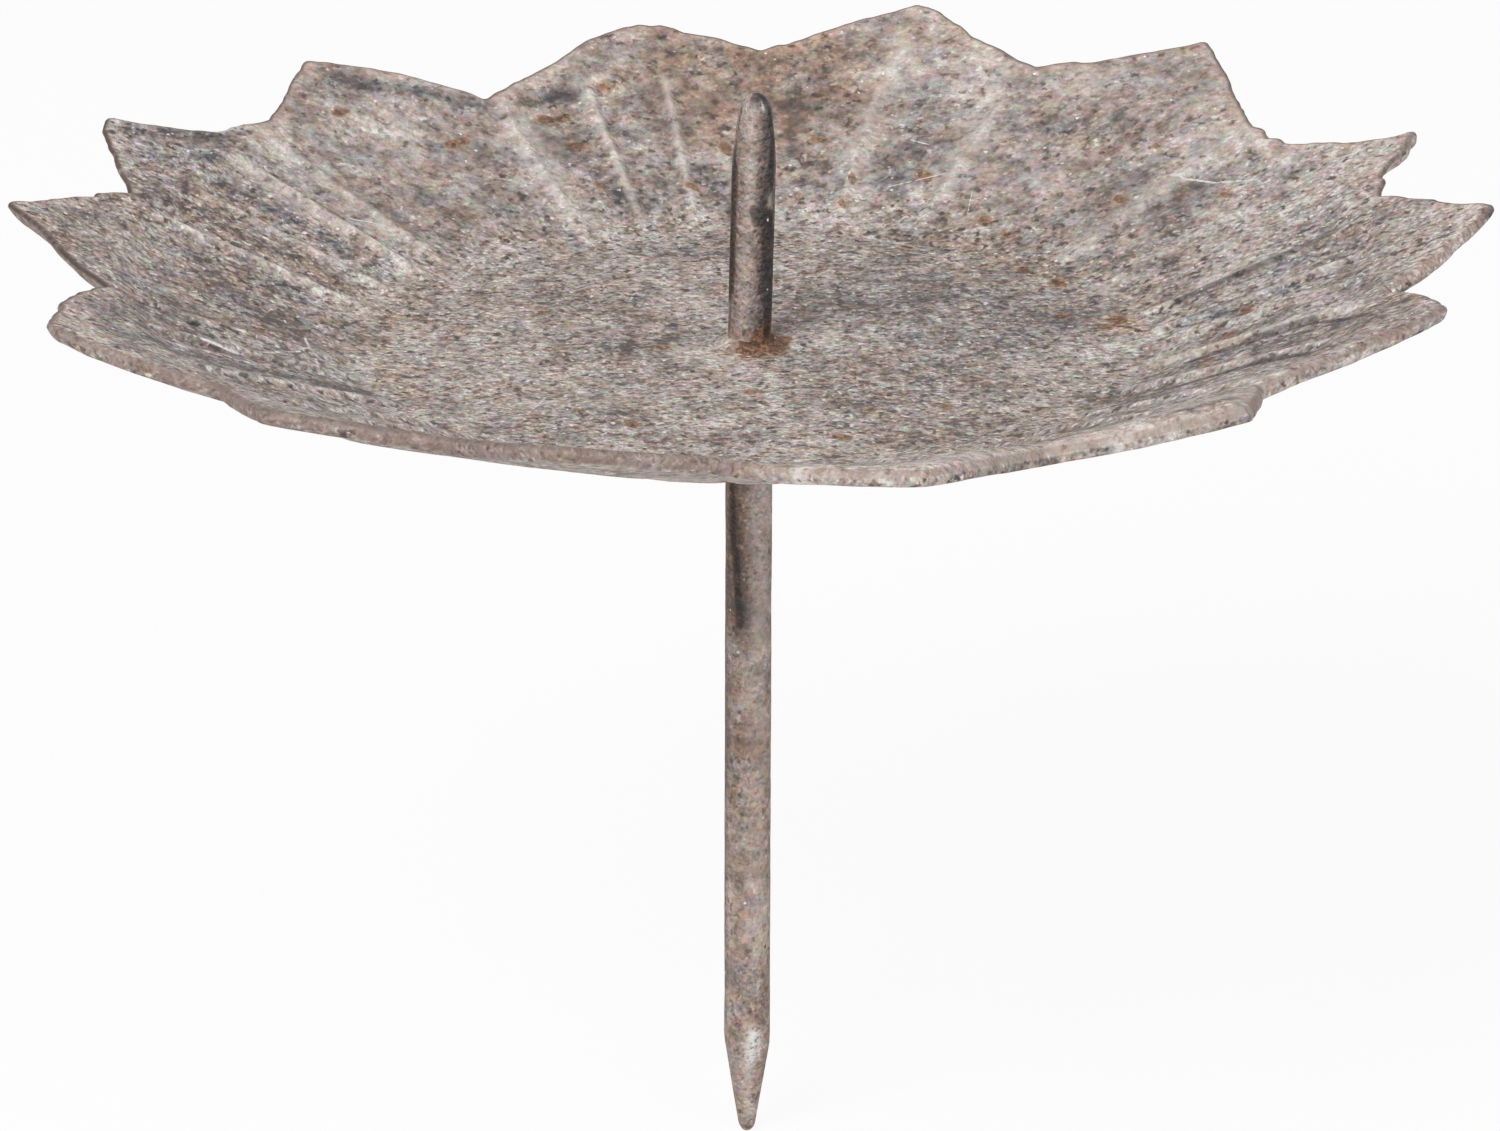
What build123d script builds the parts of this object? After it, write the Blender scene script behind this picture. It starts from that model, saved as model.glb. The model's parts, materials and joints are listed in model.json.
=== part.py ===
from build123d import *

import os
from math import cos, radians, sin

# A candle pick: a fluted, star-edged iron pan with a pricket welded above it and a stake welded below it.
# Millimetres. The origin is the centre of the pan's floor, on its upper face, and +X runs out
# through a point of the star.

# Star edge of the pan
point_count = 14
tip_radius = 50.0
notch_radius = 44.0
tip_round = 0.6
notch_round = 0.4

# Each point and the notch after it, counter-clockwise from +X: its reach as a share of its radius above,
# and its swing off even spacing as a share of the step from point to point
tip_reach_shares = (
    1.005, 1.0, 1.02, 1.02, 0.97, 0.98, 1.015, 1.005, 1.01, 0.985, 0.995, 1.0, 1.02, 0.99,
)
tip_swing_shares = (
    0.08, -0.10, -0.01, -0.01, -0.10, 0.08, -0.03, -0.10, 0.06, 0.03, 0.02, 0.02, 0.02, 0.13,
)
notch_reach_shares = (
    1.005, 0.985, 1.02, 1.02, 0.95, 1.0, 1.005, 0.985, 1.005, 1.0, 0.995, 1.0, 0.985, 0.995,
)
notch_swing_shares = (
    0.04, -0.14, -0.02, -0.01, 0.07, -0.05, -0.09, -0.07, 0.08, 0.03, 0.01, 0.01, -0.04, 0.07,
)

# Outward bow of the star's sides, as a share of the side's length: from each point to its notch,
# and from that notch to the next point
fall_bow_shares = (
    0.01, -0.03, 0.01, 0.02, 0.05, 0.04, -0.02, -0.04, 0.06, 0.02, 0.02, 0.02, 0.01, 0.01,
)
rise_bow_shares = (
    -0.05, 0.01, 0.01, 0.04, 0.08, -0.09, 0.01, 0.05, 0.01, 0.02, 0.02, 0.01, 0.01, 0.01,
)

# Pressed sheet: a flat round floor, a bend, and a straight sloping wall
sheet = 1.1
floor_radius = 24.0
bend_radius = 8.0
wall_slope = 20.5

# Flutes pressed into the wall, one on the centre line of each point and the others evenly between: each is
# a long wedge that starts in a point near the floor, and is deepest and widest near the rim, where it ends
# in a short ramp
flutes_per_point = 3
flute_start_radius = 28.0
flute_end_radius = 43.0
flute_width = 5.4
flute_depth = 0.5
flute_ramp = 2.0

# Pricket: a blunt wire whose top leans a little towards +X
pricket_diameter = 2.95
pricket_height = 17.6
pricket_lean = 1.7
pricket_point = 4.0
pricket_nose_radius = 1.05

# Stake: a wire with a four-sided nail point, whose tip leans a little towards -X
stake_diameter = 3.1
stake_length = 56.65
stake_lean = 0.4
stake_point = 7.4
stake_nose_radius = 0.65
stake_flat_width = 0.9
stake_flat_turn = 15.0
stake_flat_count = 4

# Weld beads round the wires: how far each climbs the wire, spreads over the sheet and bites into it,
# and the bevel ground on the wire's end for it
weld_bite = 0.3
wire_bevel = 0.5
pricket_weld_rise = 0.8
pricket_weld_spread = 0.9
stake_weld_rise = 1.6
stake_weld_spread = 2.0
weld_sag_share = 0.38

# How far cutting shapes run past what they cut, and how far the flutes' wedges stand above the face
# that they are sunk in, as a share of their depth
cut_overrun = 2.0
wedge_lift_share = 0.2

point_step = 360 / point_count
flute_count = flutes_per_point * point_count
bend_end_radius = floor_radius + bend_radius * sin(radians(wall_slope))
bend_end_height = bend_radius * (1 - cos(radians(wall_slope)))
underside = -sheet


def side_plane(foot_height, lean, up, turn=0):
    """Plane through a wire's axis: local x is a radius, turned about the wire, and local y runs along it."""
    along = Vector(sin(radians(lean)), 0, cos(radians(lean))) * up
    radial = Vector(cos(radians(lean)), 0, -sin(radians(lean))) * cos(radians(turn))
    radial += Vector(0, 1, 0) * sin(radians(turn))
    return Plane(origin=(0, 0, foot_height), x_dir=radial, z_dir=radial.cross(along))


pricket_side = side_plane(0, pricket_lean, up=1)
pricket_axis = Axis(pricket_side.origin, pricket_side.y_dir)
stake_side = side_plane(underside, stake_lean, up=-1)
stake_axis = Axis(stake_side.origin, stake_side.y_dir)


def star_corner(radius, reach_shares, swing_shares, k, between=0):
    """The k-th point of the star, or the notch between it and the next one."""
    turn = radians((k + between + swing_shares[k % point_count]) * point_step)
    reach = radius * reach_shares[k % point_count]
    return Vector(reach * cos(turn), reach * sin(turn))


def weld_profile(wire_diameter, rise, spread):
    """Half section of a bead: a root sunk in the sheet and a hollow fillet up to the wire."""
    wire_radius = wire_diameter / 2
    toe_radius = wire_radius + spread
    sag_radius = wire_radius + spread * weld_sag_share
    sag_height = rise * weld_sag_share
    Line((wire_radius - wire_bevel, -weld_bite), (toe_radius, -weld_bite))
    Line((toe_radius, -weld_bite), (toe_radius, 0))
    ThreePointArc((toe_radius, 0), (sag_radius, sag_height), (wire_radius, rise))
    Line((wire_radius, rise), (wire_radius - wire_bevel, -weld_bite))


def dish_profile(depth):
    """Half section of the space above the pan's upper face, or above a face that depth below it."""
    floor = Line((0, -depth), (floor_radius, -depth))
    bend = JernArc(floor @ 1, tangent=(1, 0), radius=bend_radius + depth, arc_size=wall_slope)
    wall = PolarLine(bend @ 1, length=tip_radius, angle=wall_slope)
    Polyline(wall @ 1, (0, (wall @ 1).Y), floor @ 0)


# The wall's upper face along a flute: local x runs up the slope from the end of the bend
wall_face = Plane(
    origin=(bend_end_radius, 0, bend_end_height),
    x_dir=(cos(radians(wall_slope)), 0, sin(radians(wall_slope))),
    z_dir=(-sin(radians(wall_slope)), 0, cos(radians(wall_slope))),
)


def up_the_wall(radius):
    """Distance up the slope, from the end of the bend, to a radius from the pan's axis."""
    return (radius - bend_end_radius) / cos(radians(wall_slope))


def flute_wedge(depth):
    """One flute as a wedge, sunk in the face that depth below the wall's upper one."""
    start = Vector(up_the_wall(flute_start_radius), 0, -depth)
    deepest = Vector(up_the_wall(flute_end_radius) - flute_ramp, 0, -depth - flute_depth)
    ramp_top = Vector(up_the_wall(flute_end_radius), 0, -depth)
    lift = 1 + wedge_lift_share
    with BuildPart() as wedge:
        foot = wall_face.from_local_coords(deepest)
        ramp = wall_face.from_local_coords(ramp_top) - foot
        along = wall_face.from_local_coords(start) - foot
        with BuildSketch(Plane(origin=foot, x_dir=(0, 1, 0), z_dir=Vector(0, 1, 0).cross(ramp))):
            with BuildLine():
                half_width = flute_width / 2 * lift
                height = ramp.length * lift
                Polyline((0, 0), (half_width, height), (-half_width, height), close=True)
            make_face()
        extrude(amount=along.length, dir=along.normalized())
    return wedge.part


flute = flute_wedge(0)
flute_boss = flute_wedge(sheet)

# The pan: the outside with the flutes' bosses, less the inside with the flutes, cut to the star
with BuildPart() as pan:
    for depth, wedge, mode in ((sheet, flute_boss, Mode.ADD), (0, flute, Mode.SUBTRACT)):
        with BuildSketch(Plane.XZ):
            with BuildLine():
                dish_profile(depth)
            make_face()
        revolve(axis=Axis.Z, mode=mode)
        with PolarLocations(0, flute_count):
            add(wedge, mode=mode)
    with BuildSketch(Plane.XY.offset(underside - cut_overrun)) as star:
        with BuildLine():
            for k in range(point_count):
                tip = star_corner(tip_radius, tip_reach_shares, tip_swing_shares, k)
                notch = star_corner(notch_radius, notch_reach_shares, notch_swing_shares, k, between=0.5)
                next_tip = star_corner(tip_radius, tip_reach_shares, tip_swing_shares, k + 1)
                SagittaArc(tip, notch, -fall_bow_shares[k] * (notch - tip).length)
                SagittaArc(notch, next_tip, -rise_bow_shares[k] * (next_tip - notch).length)
        make_face()
        fillet(star.vertices().sort_by_distance((0, 0, 0))[:point_count], notch_round)
        fillet(star.vertices().sort_by_distance((0, 0, 0))[-point_count:], tip_round)
    extrude(amount=tip_radius, mode=Mode.INTERSECT)
    # Shallow pools where the two beads bite into the floor
    with BuildSketch(pricket_side):
        with Locations((0, -weld_bite)):
            pool_radius = pricket_diameter / 2 + pricket_weld_spread
            Rectangle(pool_radius, weld_bite + cut_overrun, align=(Align.MIN, Align.MIN))
    revolve(axis=pricket_axis, mode=Mode.SUBTRACT)
    with BuildSketch(stake_side):
        with Locations((0, -weld_bite)):
            pool_radius = stake_diameter / 2 + stake_weld_spread
            Rectangle(pool_radius, weld_bite + cut_overrun, align=(Align.MIN, Align.MIN))
    revolve(axis=stake_axis, mode=Mode.SUBTRACT)
pan.part.label = "pan"

# The pricket: bevelled foot, straight shank and a blunt rounded point
with BuildPart() as pricket:
    shank_radius = pricket_diameter / 2
    shoulder = pricket_height - pricket_point
    nose_centre = pricket_height - pricket_nose_radius
    with BuildSketch(pricket_side):
        with BuildLine():
            Polyline(
                (0, pricket_height),
                (0, -weld_bite),
                (shank_radius - wire_bevel, -weld_bite),
                (shank_radius, pricket_weld_rise),
                (shank_radius, shoulder),
            )
            TangentArc((shank_radius, shoulder), (pricket_nose_radius, nose_centre), tangent=(0, 1))
            CenterArc((0, nose_centre), pricket_nose_radius, 0, 90)
        make_face()
    revolve(axis=pricket_axis)
pricket.part.label = "pricket"

# The stake: bevelled head, straight shank, and a cone with four flats for its point
with BuildPart() as stake:
    shank_radius = stake_diameter / 2
    shoulder = stake_length - stake_point
    nose_centre = stake_length - stake_nose_radius
    with BuildSketch(stake_side):
        with BuildLine():
            Polyline(
                (0, stake_length),
                (0, -weld_bite),
                (shank_radius - wire_bevel, -weld_bite),
                (shank_radius, stake_weld_rise),
                (shank_radius, shoulder),
                (stake_nose_radius, nose_centre),
            )
            CenterArc((0, nose_centre), stake_nose_radius, 0, 90)
        make_face()
    revolve(axis=stake_axis)
    for k in range(stake_flat_count):
        flat_turn = stake_flat_turn + k * 360 / stake_flat_count
        with BuildSketch(side_plane(underside, stake_lean, up=-1, turn=flat_turn)):
            with BuildLine():
                Polyline(
                    (shank_radius, shoulder),
                    (stake_flat_width / 2, stake_length),
                    (stake_flat_width / 2, stake_length + cut_overrun),
                    (shank_radius + cut_overrun, stake_length + cut_overrun),
                    (shank_radius + cut_overrun, shoulder),
                    close=True,
                )
            make_face()
        extrude(amount=stake_diameter, both=True, mode=Mode.SUBTRACT)
stake.part.label = "stake"

# The bead round the pricket's foot
with BuildPart() as pricket_weld:
    with BuildSketch(pricket_side):
        with BuildLine():
            weld_profile(pricket_diameter, pricket_weld_rise, pricket_weld_spread)
        make_face()
    revolve(axis=pricket_axis)
pricket_weld.part.label = "pricket_weld"

# The bead round the stake's head
with BuildPart() as stake_weld:
    with BuildSketch(stake_side):
        with BuildLine():
            weld_profile(stake_diameter, stake_weld_rise, stake_weld_spread)
        make_face()
    revolve(axis=stake_axis)
stake_weld.part.label = "stake_weld"

os.makedirs("parts", exist_ok=True)
for piece in (pan, pricket, stake, pricket_weld, stake_weld):
    export_step(piece.part, f"parts/{piece.part.label}.step")
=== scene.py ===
import json
import math
from types import SimpleNamespace

import bpy
import numpy as np
from mathutils import Matrix, Vector, noise
from mathutils.bvhtree import BVHTree


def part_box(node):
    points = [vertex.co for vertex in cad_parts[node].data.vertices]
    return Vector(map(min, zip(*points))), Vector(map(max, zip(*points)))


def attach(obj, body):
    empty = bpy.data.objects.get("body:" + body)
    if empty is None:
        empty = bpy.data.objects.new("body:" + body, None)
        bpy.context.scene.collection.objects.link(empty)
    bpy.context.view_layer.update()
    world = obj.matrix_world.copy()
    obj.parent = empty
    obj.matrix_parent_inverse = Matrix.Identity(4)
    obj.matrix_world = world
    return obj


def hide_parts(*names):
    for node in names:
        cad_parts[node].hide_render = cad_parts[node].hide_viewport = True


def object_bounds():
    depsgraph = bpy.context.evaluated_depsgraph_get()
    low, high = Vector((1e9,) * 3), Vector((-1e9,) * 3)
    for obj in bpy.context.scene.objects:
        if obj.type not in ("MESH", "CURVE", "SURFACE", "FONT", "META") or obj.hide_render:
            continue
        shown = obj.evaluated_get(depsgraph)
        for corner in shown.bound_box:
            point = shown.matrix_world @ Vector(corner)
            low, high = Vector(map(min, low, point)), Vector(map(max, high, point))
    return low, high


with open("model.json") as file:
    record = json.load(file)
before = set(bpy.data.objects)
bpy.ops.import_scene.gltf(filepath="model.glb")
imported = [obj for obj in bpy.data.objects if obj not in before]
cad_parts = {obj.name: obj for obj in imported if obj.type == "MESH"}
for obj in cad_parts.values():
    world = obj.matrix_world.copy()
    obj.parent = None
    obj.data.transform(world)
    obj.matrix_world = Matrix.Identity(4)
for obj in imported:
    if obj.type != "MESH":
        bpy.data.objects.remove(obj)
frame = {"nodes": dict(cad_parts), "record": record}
cad_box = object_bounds()
mounts = {mount["name"]: mount for mount in frame["record"]["mounts"]}

# Lengths are in millimetres, angles in degrees counter-clockwise from +X, and MM gives Blender's metres
MM = 0.001

# Camera: where it looks, how far away it stands, its angles, and its lens on a full-frame sensor
look_at_height = -15.943
camera_distance = 577.169
camera_elevation = 19.813
camera_azimuth = 0.955
camera_roll = -0.233
sensor_width = 36.0
lens_length = 203.63

# Light and floor: strengths, places and sizes of the soft boxes, and how much shadow the white floor keeps
surround_strength = 0.5
key_spot = (-420, -620, 640)
key_power = 7.5
fill_spot = (560, -640, 380)
fill_power = 3.0
soft_box_size = 600
floor_size = 4000
shadow_share = 0.09

# The pan's dish, as in its solid
floor_radius = 24.0
bend_radius = 8.0
wall_slope = 20.5
sheet = 1.1
rim_radius = 50.0

# Rings of the pan's mesh; segment_shares says, from a radius outwards, which share of the points is kept
segments = 1260
segment_shares = ((30.0, 1), (12.0, 2), (4.0, 6), (0.0, 18))
floor_ring_step = 0.5
wall_ring_step = 0.4
skirt_radius = 38.0
skirt_rings = 26
under_coarseness = 2

# Rings of the cut edge, from the top: inset, drop, cut face, dark line, inset if thin, drop if bevelled
lip_steps = (
    (0.75, 0.0, 0.0, 0.0, 0.0, 0.0), (0.42, 0.03, 0.0, 0.8, 0.0, 0.14), (0.22, 0.1, 0.1, 1.0, 0.0, 0.3),
    (0.07, 0.22, 0.3, 1.0, 0.0, 0.4), (0.0, 0.38, 0.8, 0.3, 0.0, 0.42), (0.0, 0.7, 1.0, 0.0, 0.5, 0.25),
    (0.05, 0.96, 1.0, 0.0, 1.0, 0.1), (0.2, 1.12, 0.3, 0.3, 1.3, 0.0),
)
thin_rounding = 0.5

# Angles and values round the edge: how dark its face and line are, how thin, bevelled and pale it is
lip_tones = (
    (0, 0.15), (10, 0.3), (60, 0.8), (160, 0.9), (205, 1.2), (225, 1.5), (262, 1.4), (284, 0.2),
    (325, 0.2), (345, 0.15),
)
edge_lines = (
    (2, 0.8), (20, 0.6), (60, 0.8), (90, 1.0), (130, 0.8), (165, 1.0), (190, 1.0), (215, 0.4),
    (240, 0.55), (262, 0.5), (275, 0.15), (290, 0.2), (338, 0.4), (345, 0.1), (358, 0.1),
)
thin_edges = (
    (0, 0.35), (14, 0.9), (20.9, 0.9), (21.7, 0.0), (23.4, 0.0), (24.6, 0.7), (165, 0.8), (178, 0.6),
    (190, 0.5), (205, 0.4), (218, 0.1), (240, 0.0), (330, 0.0), (345, 0.3),
)
bevels = ((0, 0.8), (3, 0.0), (270, 0.0), (286, 0.5), (325, 0.5), (338, 0.2), (346, 1.0), (357, 1.0))
rim_bands = ((266, 0.0), (280, 0.2), (290, 0.5), (318, 0.5), (330, 0.0))
rim_band_width = 2.4
rim_band_core = 0.6

# Unevenness of the cut edge
ragged_depth = 0.1
ragged_sizes = (0.8, 3.0)
ragged_bias = 0.25

# Flutes: their band of the wall, their crests' width, the painted highlight on their crests and the painted
# shade in their grooves, and their sink, depth and crests by angle
flute_inner = 25.5
flute_outer = 43.0
flute_fade = 2.4
crest_width = 0.42
painted_crest_highlight = 0.9
groove_shade = 0.12
flute_sinks = ((0, 1.0), (225, 1.0), (245, 0.2), (275, 0.2), (292, 1.0))
flute_depths = (
    (0, 0.42), (25, 0.3), (60, 0.22), (100, 0.3), (150, 0.4), (205, 0.5), (270, 0.4), (335, 0.5),
)
crests = (
    (2.5, 0.9), (10.6, 0.9), (26.2, 0.45), (38.4, 0.6), (52, 0.25), (65, 0.75), (77.8, 0.95), (90, 0.3),
    (99.1, 1.0), (103.5, 0.3), (107.1, 1.0), (116.4, 0.8), (128.4, 0.4), (141.9, 0.55), (147.8, 0.85),
    (156.9, 0.75), (166.3, 0.95), (178, 0.3), (190.6, 0.5), (199, 0.8), (211, 0.8), (221, 0.6),
    (231, 0.7), (241, 0.6), (249, 0.6), (258, 0.7), (268, 0.6), (276, 0.6), (285, 0.7), (295, 0.6),
    (304, 0.6), (313, 0.7), (324, 0.6), (336, 0.9), (347.1, 1.0), (356, 0.6),
)

# How far the rim is bent up and its edge turned down, by angle, and the unevenness of the whole sheet
rim_lifts = (
    (0, 0.08), (8, 0.35), (12, 0.25), (16, -0.1), (22, -0.15), (35, 0.05), (60, 0.15), (77, 0.1),
    (118, 0.1), (150, -0.05), (155, -0.3), (164, 0.0), (171, 0.1), (180, 0.08), (192, 0.05), (206, -0.4),
    (216, -0.42), (231, -0.28), (243, 0.07), (256, 0.32), (266, 0.32), (275, -0.58), (283, -0.93),
    (291, -0.42), (300, -0.15), (310, 0.15), (322, 0.2), (330, 0.0), (337, -0.05), (348, 0.1),
)
rim_lift_power = 1.5
edge_droops = ((0, 0), (268, 0), (280, 0.35), (292, 0.7), (306, 0.75), (318, 0.5), (326, 0.1), (335, 0))
droop_width = 3.2
dent_size, dent_depth = 9.0, 0.1
lump_size, lump_depth = 1.5, 0.035

# Where the cut edge strays from the plain star: angle, half width in degrees, and how far out
trim_core = 0.3
edge_trims = (
    (198, 4.5, 0.4), (205, 4.0, 0.15), (212, 5.0, 0.35), (194, 2.4, 0.25), (185.5, 5.0, 0.7),
    (175, 2.0, -0.15), (166.8, 2.2, 0.48), (160, 3.0, 0.45), (156.4, 2.6, 0.58), (149, 2.5, 0.14),
    (141.8, 4.6, 0.72), (136, 4.0, 0.15), (132.5, 2.5, 0.25), (130.2, 2.2, 0.22), (126, 6.0, 0.2),
    (117.5, 3.0, 0.25), (110, 4.0, -0.2), (104, 4.0, 0.4), (98, 1.5, 0.3), (94, 2.0, 0.2),
    (90, 3.0, 0.25), (82.5, 4.0, 0.2), (75.4, 1.3, 0.35), (73.5, 2.4, 0.35), (66.5, 3.5, 0.2),
    (62.4, 3.4, 0.45), (48.8, 5.0, 0.3), (35.3, 3.2, 0.7), (31.6, 2.0, -0.15), (26, 3.0, -0.4),
    (23.2, 0.7, 0.2), (21.9, 0.6, 0.2), (19.4, 2.2, -0.5), (12.7, 2.4, 0.25), (5.6, 2.6, -0.35),
    (354, 3.2, 0.35), (348.2, 2.8, -0.47), (342.5, 4.6, 0.38), (334, 3.0, 0.12),
)

# Pits and turned-over tips: radius, angle, reach, and how far up or down
pits = (
    (37.75, 192.6, 0.4, -0.4), (39.9, 116.9, 0.3, -0.2), (37.3, 171.4, 0.4, -0.2), (49.2, 22.4, 0.9, 0.3),
    (47.9, 337.6, 0.7, 0.35), (30.9, 153.2, 0.5, -0.15), (39.2, 111.6, 0.6, -0.1),
)

# The wires' meshes, their unevenness and their points
wire_segments = 72
wire_ring_step = 0.25
wire_lump_size, wire_lump_depth = 4.0, 0.03
wire_grain_size, wire_grain_depth = 0.7, 0.012
wire_calm = 0.4
nose_rings = np.geomspace(0.004, 1.0, 12)
pricket_nose = 0.92
pricket_point = 5.6
pricket_fullness = 1.6
stake_point = 7.6
stake_flat = 0.9
stake_flat_turn = 15.0
stake_nose = 0.6
stake_corner = 1.13
stake_swell = 1.02
stake_tip_reach = 8.5
stake_tip_ring_step = 0.15

# The welds: their sizes, their meshes, how far they sink into the sheet, and their lumps
pricket_weld_rise, pricket_weld_spread = 0.8, 0.9
stake_weld_rise, stake_weld_spread = 1.6, 2.0
weld_segments, weld_rings = 72, 9
weld_sink_share = 0.3
weld_lump_size, weld_lump_share = 1.4, 0.12
weld_grain_size = 0.5
rusty_side = -35.0

# Values of marks where there is none: a depth far outside a sharp mark and a distance far from the rim
outside_mark = -2.0
off_rim = 9.0

# How calm the finish is on the wall's front, how much calmer on its back and on the pale band of the rim
calm_radius = 34.0
front_calm = 0.05
back_calm = 0.47
band_calm = 0.4

# Marks of the pan's finish: from radius and angle, to radius and angle, half width, strength
# Slate marks: dark iron where the wash is worn, and painted shade, broad on the floor's right and in lines
# along the right wall's flutes
slate_and_shade_marks = (
    (48.3, 153.6, 44.6, 147, 1.4, 1.0), (45.5, 155.5, 43.5, 150, 1.4, 0.8),
    (46.4, 129.4, 41.2, 117.8, 0.9, 1.0), (41.2, 113.5, 41.2, 108.8, 0.8, 0.9),
    (33, 110.5, 29, 108.5, 1.1, 0.5), (28.4, 109, 28.4, 104, 0.5, 0.45), (32, 97, 28.5, 93, 1.4, 0.45),
    (41.5, 72.5, 35, 70.5, 1.9, 0.5), (34, 73.5, 31, 71, 1.4, 0.5), (34, 86, 31.5, 80, 1.6, 0.4),
    (31, 83, 30, 80.5, 1.1, 0.5), (38.5, 34.5, 33, 30, 1.8, 0.5), (42, 152.7, 32, 152.7, 1.0, 0.8),
    (43, 162, 36, 162, 1.0, 0.35), (40, 172, 31, 171, 1.6, 0.45), (36, 179, 31, 183, 2.2, 0.35),
    (44, 199, 30, 201, 1.2, 0.5), (45, 205, 28.5, 205.5, 1.3, 0.9), (46.5, 177, 44, 172, 1.0, 0.35),
    (38, 126.8, 38, 125.8, 0.5, 0.9), (8.4, 189, 8.4, 188, 1.0, 0.9), (14, 40, 19, 25, 5.5, 0.4),
    (13, 5, 19, 12, 4.5, 0.45), (10, 62, 14, 50, 4.0, 0.25), (14.3, -34, 14.2, -34.5, 0.6, 0.9),
    (12.6, 21, 12.5, 20, 0.6, 0.8), (24.3, -9.8, 24.3, -11, 0.5, 0.9), (38, 8.6, 30, 8.4, 1.2, 0.5),
    (36.5, 1.2, 29.5, 0.6, 0.9, 0.8), (41, -16.8, 31, -16.6, 1.0, 0.6), (27, -24, 30, -24, 1.0, 0.4),
    (12, 132, 12.5, 129, 0.6, 0.6), (24, 118, 20, 96, 2.2, 0.25),
)
# Sharp dark marks: painted shadow lines along the right wall's flutes, and dark spots in the pits and
# elsewhere
grime_and_shade_marks = (
    (42.3, 11.3, 40, 10.4, 0.25, 0.7), (40, 10.4, 29.3, 10, 0.28, 0.9), (36, 2.6, 29.5, 2.2, 0.25, 0.6),
    (45, -22, 43.5, -19.5, 0.25, 0.8), (43.5, -19.5, 41, -16.2, 0.3, 0.9),
    (41, -16.2, 38.5, -13.8, 0.35, 1.0), (38.5, -13.8, 34.5, -14.0, 0.45, 1.0),
    (34.5, -14.0, 30.5, -15.2, 0.4, 0.9), (43.5, -28.5, 40.5, -25.6, 0.3, 0.9),
    (40.5, -25.6, 37, -25.0, 0.42, 1.0), (37, -25.0, 32, -27.5, 0.45, 0.9),
    (37.8, 193.0, 37.7, 192.3, 0.36, 1.0), (37.4, 171.8, 37.3, 171, 0.35, 0.9),
    (39.9, 117, 39.9, 116.7, 0.25, 1.2), (31.2, 154.6, 30.9, 152, 0.28, 0.9),
    (30.2, 144.5, 30, 143.6, 0.3, 0.8), (44, 48.4, 44, 48, 0.26, 0.8), (38, 50.2, 38, 49.8, 0.25, 0.8),
    (36.6, 10.8, 36.4, 10, 0.3, 0.7), (12.3, 131, 12.2, 130.4, 0.3, 0.8),
    (24.3, -10.2, 24.3, -10.8, 0.3, 0.8), (44.5, 146.4, 44.2, 144.5, 0.25, 0.7),
    (45.6, 66.5, 46.3, 68.4, 0.22, 0.8), (29.5, 134.8, 29.4, 134.2, 0.3, 0.6),
)
brown_marks = (
    (45, 97, 37, 94, 3.0, 0.8), (44.5, 90.5, 36, 87, 3.6, 0.9), (44, 83, 38, 81.5, 2.8, 0.8),
    (44.7, 93.5, 44.7, 86.5, 0.7, 1.3), (47.8, 77.5, 47.2, 76.3, 1.0, 0.7),
    (46, 65.5, 46.4, 58.5, 0.5, 1.2), (44.6, 190.5, 49.2, 180.8, 0.45, 1.2),
    (41, 162.5, 29, 161, 1.0, 0.6), (26.2, 14, 25.6, 5, 1.0, 0.9), (26, 60, 25.4, 32, 1.2, 0.5),
    (25.8, 150, 26, 180, 1.0, 0.4), (26, 180, 25.8, 215, 1.0, 0.4), (42, 104, 41, 100, 1.5, 0.5),
    (28.6, 14, 28.4, 11, 0.7, 0.7), (37, 178, 35, 172, 1.0, 0.5),
)
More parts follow.
